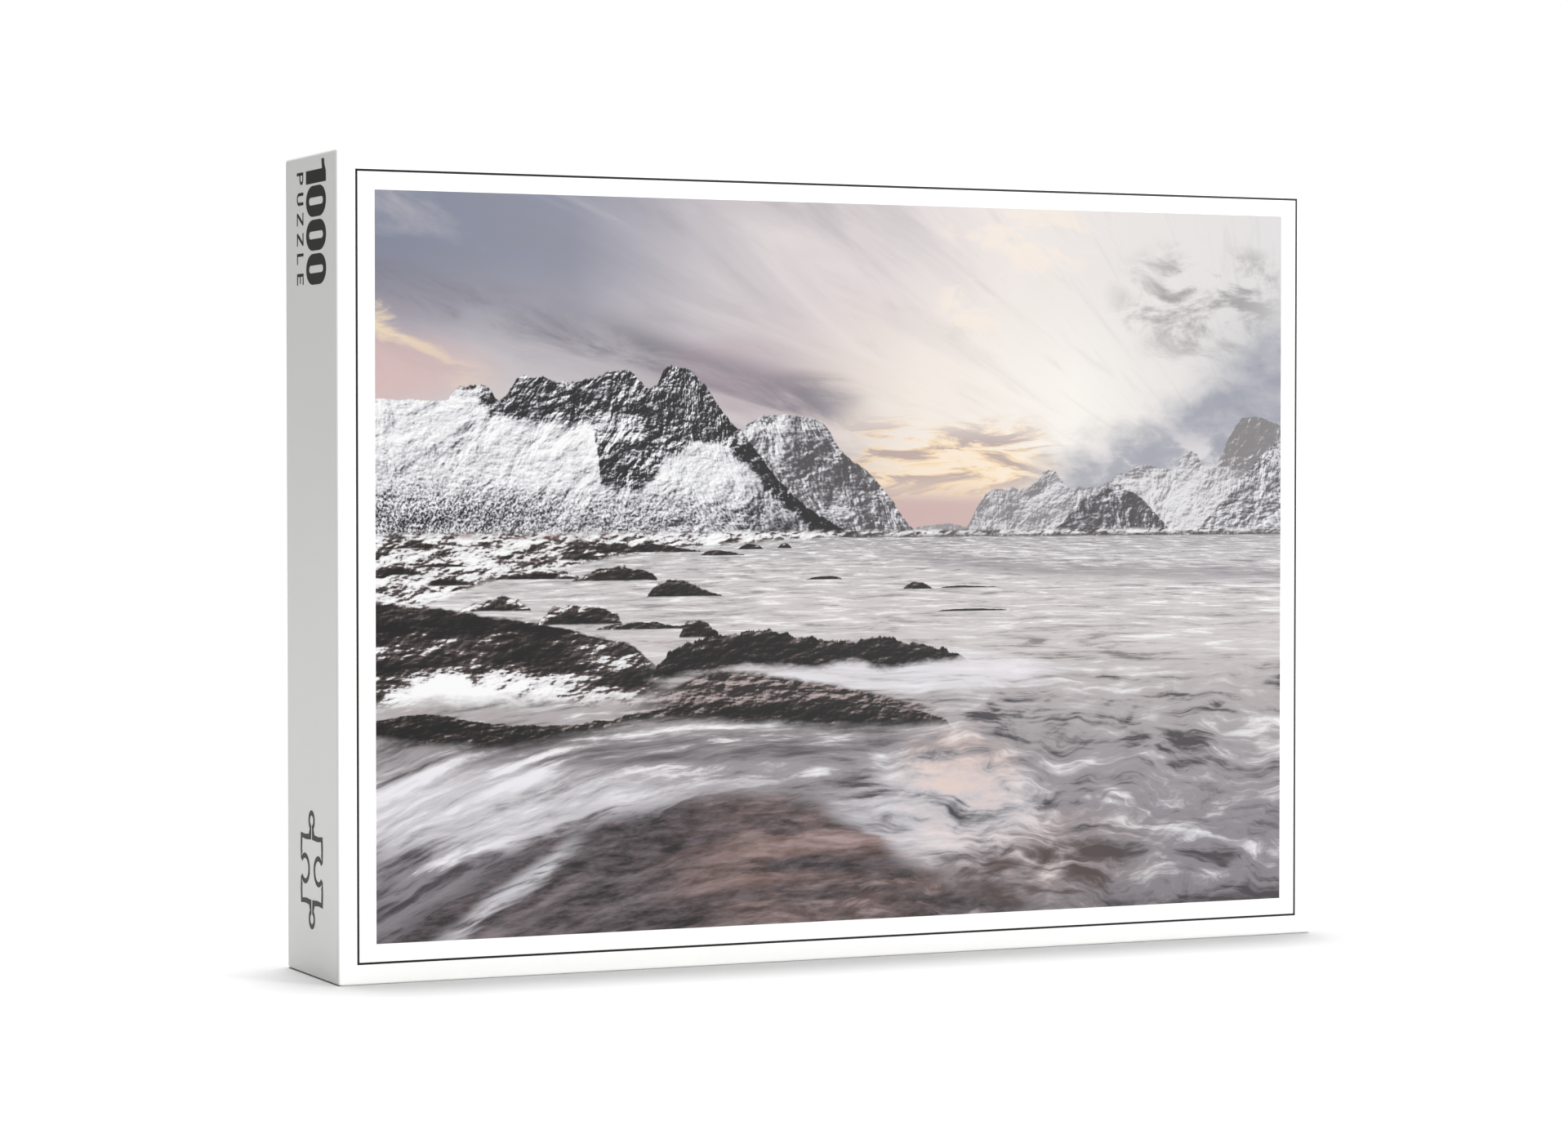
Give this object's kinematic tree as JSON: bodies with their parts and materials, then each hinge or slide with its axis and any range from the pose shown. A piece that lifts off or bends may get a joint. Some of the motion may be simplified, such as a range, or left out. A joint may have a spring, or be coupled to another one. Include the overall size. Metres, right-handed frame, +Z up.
{
  "type": "boxed jigsaw puzzle",
  "caption": "Boxed jigsaw puzzle: a deep lid over a tray, with a folded poster and a film bag of loose interlocking pieces inside.",
  "frame": {"origin": "under the middle of the closed box, on the surface that it stands on", "axes": "+X along the long edge, +Y from the picture panel to the back, +Z up, the box standing on a long edge"},
  "size_m": [0.37, 0.057, 0.273],
  "materials": {
    "printed_paper": "satin coated, printed",
    "white_paper": "satin coated, plain white",
    "stay_paper": "matte kraft",
    "poster_paper": "satin coated, printed",
    "chipboard": "matte recycled grey board",
    "puzzle_board": "printed face, blue-grey back",
    "clear_film": "clear glossy film"
  },
  "bodies": {
    "tray": {"tray_board": "chipboard", "tray_wrap": "white_paper", "tray_corner_stay_1": "stay_paper", "tray_corner_stay_2": "stay_paper", "tray_corner_stay_3": "stay_paper", "tray_corner_stay_4": "stay_paper"},
    "lid": {"lid_board": "chipboard", "lid_wrap": "printed_paper", "lid_corner_stay_1": "stay_paper", "lid_corner_stay_2": "stay_paper", "lid_corner_stay_3": "stay_paper", "lid_corner_stay_4": "stay_paper"},
    "poster": {"poster": "poster_paper"},
    "bag": {"piece_bag": "clear_film", "loose_pieces": "puzzle_board", "puzzle_piece_01": "puzzle_board", "puzzle_piece_02": "puzzle_board", "puzzle_piece_03": "puzzle_board", "puzzle_piece_04": "puzzle_board", "puzzle_piece_05": "puzzle_board", "puzzle_piece_06": "puzzle_board", "puzzle_piece_07": "puzzle_board", "puzzle_piece_08": "puzzle_board", "puzzle_piece_09": "puzzle_board", "puzzle_piece_10": "puzzle_board", "puzzle_piece_11": "puzzle_board", "puzzle_piece_12": "puzzle_board", "puzzle_piece_13": "puzzle_board", "puzzle_piece_14": "puzzle_board", "puzzle_piece_15": "puzzle_board", "puzzle_piece_16": "puzzle_board", "puzzle_piece_17": "puzzle_board", "puzzle_piece_18": "puzzle_board", "puzzle_piece_19": "puzzle_board", "puzzle_piece_20": "puzzle_board", "puzzle_piece_21": "puzzle_board", "puzzle_piece_22": "puzzle_board", "puzzle_piece_23": "puzzle_board", "puzzle_piece_24": "puzzle_board"}
  },
  "joints": [
    {"name": "lid_lift", "type": "slide", "parent": "tray", "child": "lid", "axis": [0, -1, 0], "range_m": [0, 0.18]},
    {"name": "poster_lift", "type": "slide", "parent": "tray", "child": "poster", "axis": [0, -1, 0], "range_m": [0, 0.09]},
    {"name": "bag_lift", "type": "slide", "parent": "tray", "child": "bag", "axis": [0, -1, 0], "range_m": [0, 0.06]}
  ],
  "couplings": [
    {"joint": "poster_lift", "follows": "lid_lift", "ratio": 0.5},
    {"joint": "bag_lift", "follows": "lid_lift", "ratio": 0.3333}
  ]
}
